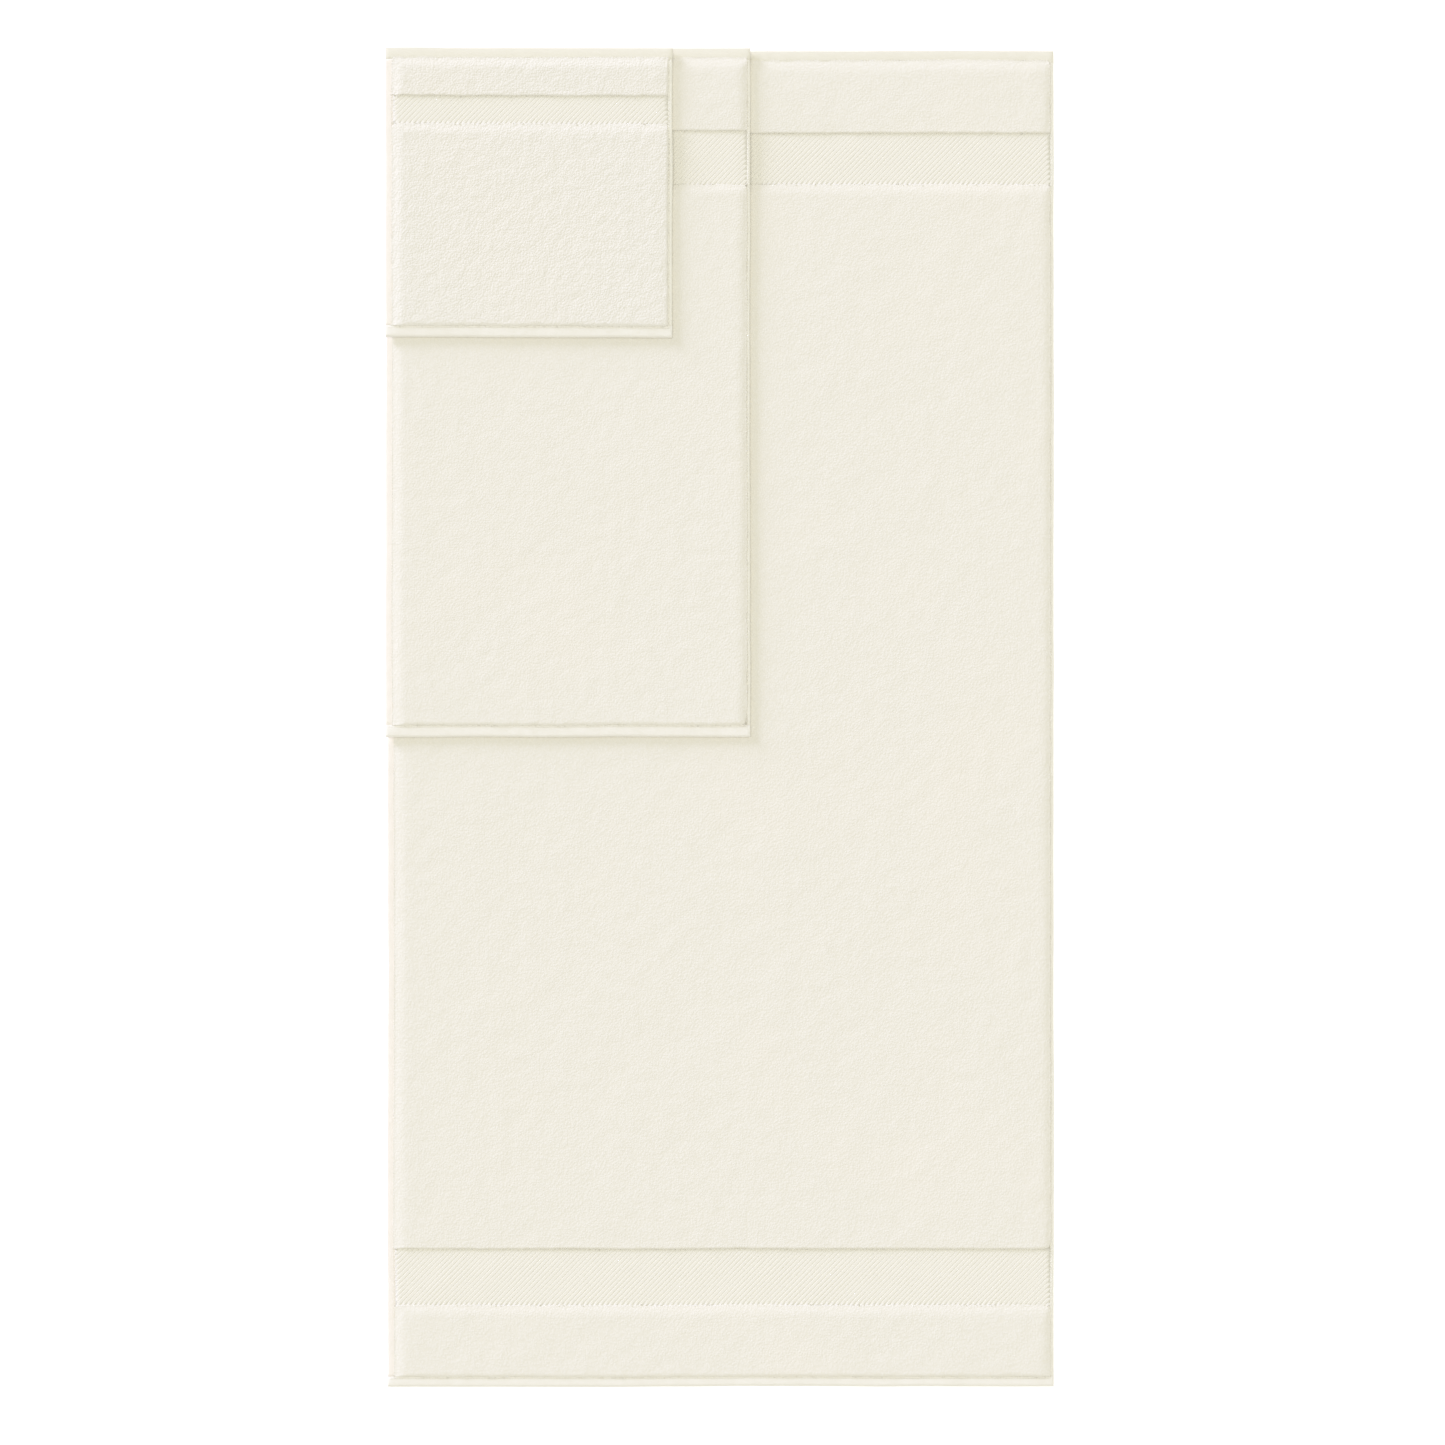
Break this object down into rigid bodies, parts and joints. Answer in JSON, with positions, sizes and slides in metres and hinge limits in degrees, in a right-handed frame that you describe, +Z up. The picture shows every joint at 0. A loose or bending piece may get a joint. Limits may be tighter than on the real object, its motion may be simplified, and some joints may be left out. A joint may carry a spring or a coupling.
{
  "type": "bath towel set",
  "caption": "Ivory terry bath towel, hand towel and washcloth laid flat in a stack, with woven twill bands, turned hems, lift-off upper towels and fold-up foot ends.",
  "frame": {"origin": "on the surface that the set lies on, under the middle of its outline", "axes": "+Z up; +Y towards the head end, where the edges of all three towels meet; +X towards the right side, away from the side where the edges of all three towels meet"},
  "size_m": [0.7014, 1.406, 0.0222],
  "materials": {
    "terry_pile": "looped cotton pile, matte",
    "ground_cloth": "plain weave, matte",
    "band": "flat twill weave, faint sheen",
    "hem": "folded plain weave, matte",
    "sewing_thread": "twisted cotton thread, faint sheen"
  },
  "bodies": {
    "bath_towel": {"bath_ground_cloth": "ground_cloth", "bath_head_band": "band", "bath_head_hem": "hem", "bath_head_hem_thread": "sewing_thread", "bath_head_strip_back_pile": "terry_pile", "bath_head_strip_face_pile": "terry_pile", "bath_left_hem": "hem", "bath_left_hem_thread": "sewing_thread", "bath_main_back_pile": "terry_pile", "bath_main_face_pile": "terry_pile", "bath_right_hem": "hem", "bath_right_hem_thread": "sewing_thread"},
    "bath_towel_fold": {"bath_fold_back_pile": "terry_pile", "bath_fold_face_pile": "terry_pile", "bath_fold_ground_cloth": "ground_cloth", "bath_fold_left_hem": "hem", "bath_fold_left_hem_thread": "sewing_thread", "bath_fold_right_hem": "hem", "bath_fold_right_hem_thread": "sewing_thread", "bath_foot_band": "band", "bath_foot_hem": "hem", "bath_foot_hem_thread": "sewing_thread", "bath_foot_strip_back_pile": "terry_pile", "bath_foot_strip_face_pile": "terry_pile"},
    "hand_towel": {"hand_ground_cloth": "ground_cloth", "hand_head_band": "band", "hand_head_hem": "hem", "hand_head_hem_thread": "sewing_thread", "hand_head_strip_back_pile": "terry_pile", "hand_head_strip_face_pile": "terry_pile", "hand_left_hem": "hem", "hand_left_hem_thread": "sewing_thread", "hand_main_back_pile": "terry_pile", "hand_main_face_pile": "terry_pile", "hand_right_hem": "hem", "hand_right_hem_thread": "sewing_thread"},
    "hand_towel_fold": {"hand_fold_back_pile": "terry_pile", "hand_fold_face_pile": "terry_pile", "hand_fold_ground_cloth": "ground_cloth", "hand_fold_left_hem": "hem", "hand_fold_left_hem_thread": "sewing_thread", "hand_fold_right_hem": "hem", "hand_fold_right_hem_thread": "sewing_thread", "hand_foot_hem": "hem", "hand_foot_hem_thread": "sewing_thread"},
    "washcloth": {"wash_foot_hem": "hem", "wash_foot_hem_thread": "sewing_thread", "wash_ground_cloth": "ground_cloth", "wash_head_band": "band", "wash_head_hem": "hem", "wash_head_hem_thread": "sewing_thread", "wash_head_strip_back_pile": "terry_pile", "wash_head_strip_face_pile": "terry_pile", "wash_left_hem": "hem", "wash_left_hem_thread": "sewing_thread", "wash_main_back_pile": "terry_pile", "wash_main_face_pile": "terry_pile", "wash_right_hem": "hem", "wash_right_hem_thread": "sewing_thread"}
  },
  "joints": [
    {"name": "bath_towel_foot_fold", "type": "hinge", "parent": "bath_towel", "child": "bath_towel_fold", "pos_m": [0, -0.373, 0.0075], "axis": [-1, 0, 0], "range_deg": [0, 179]},
    {"name": "hand_towel_lift", "type": "slide", "parent": "bath_towel", "child": "hand_towel", "axis": [0, 0, 1], "range_m": [0, 0.2]},
    {"name": "hand_towel_foot_fold", "type": "hinge", "parent": "hand_towel", "child": "hand_towel_fold", "pos_m": [-0.159, 0.18, 0.015], "axis": [-1, 0, 0], "range_deg": [0, 179]},
    {"name": "washcloth_lift", "type": "slide", "parent": "hand_towel", "child": "washcloth", "axis": [0, 0, 1], "range_m": [0, 0.2]}
  ]
}
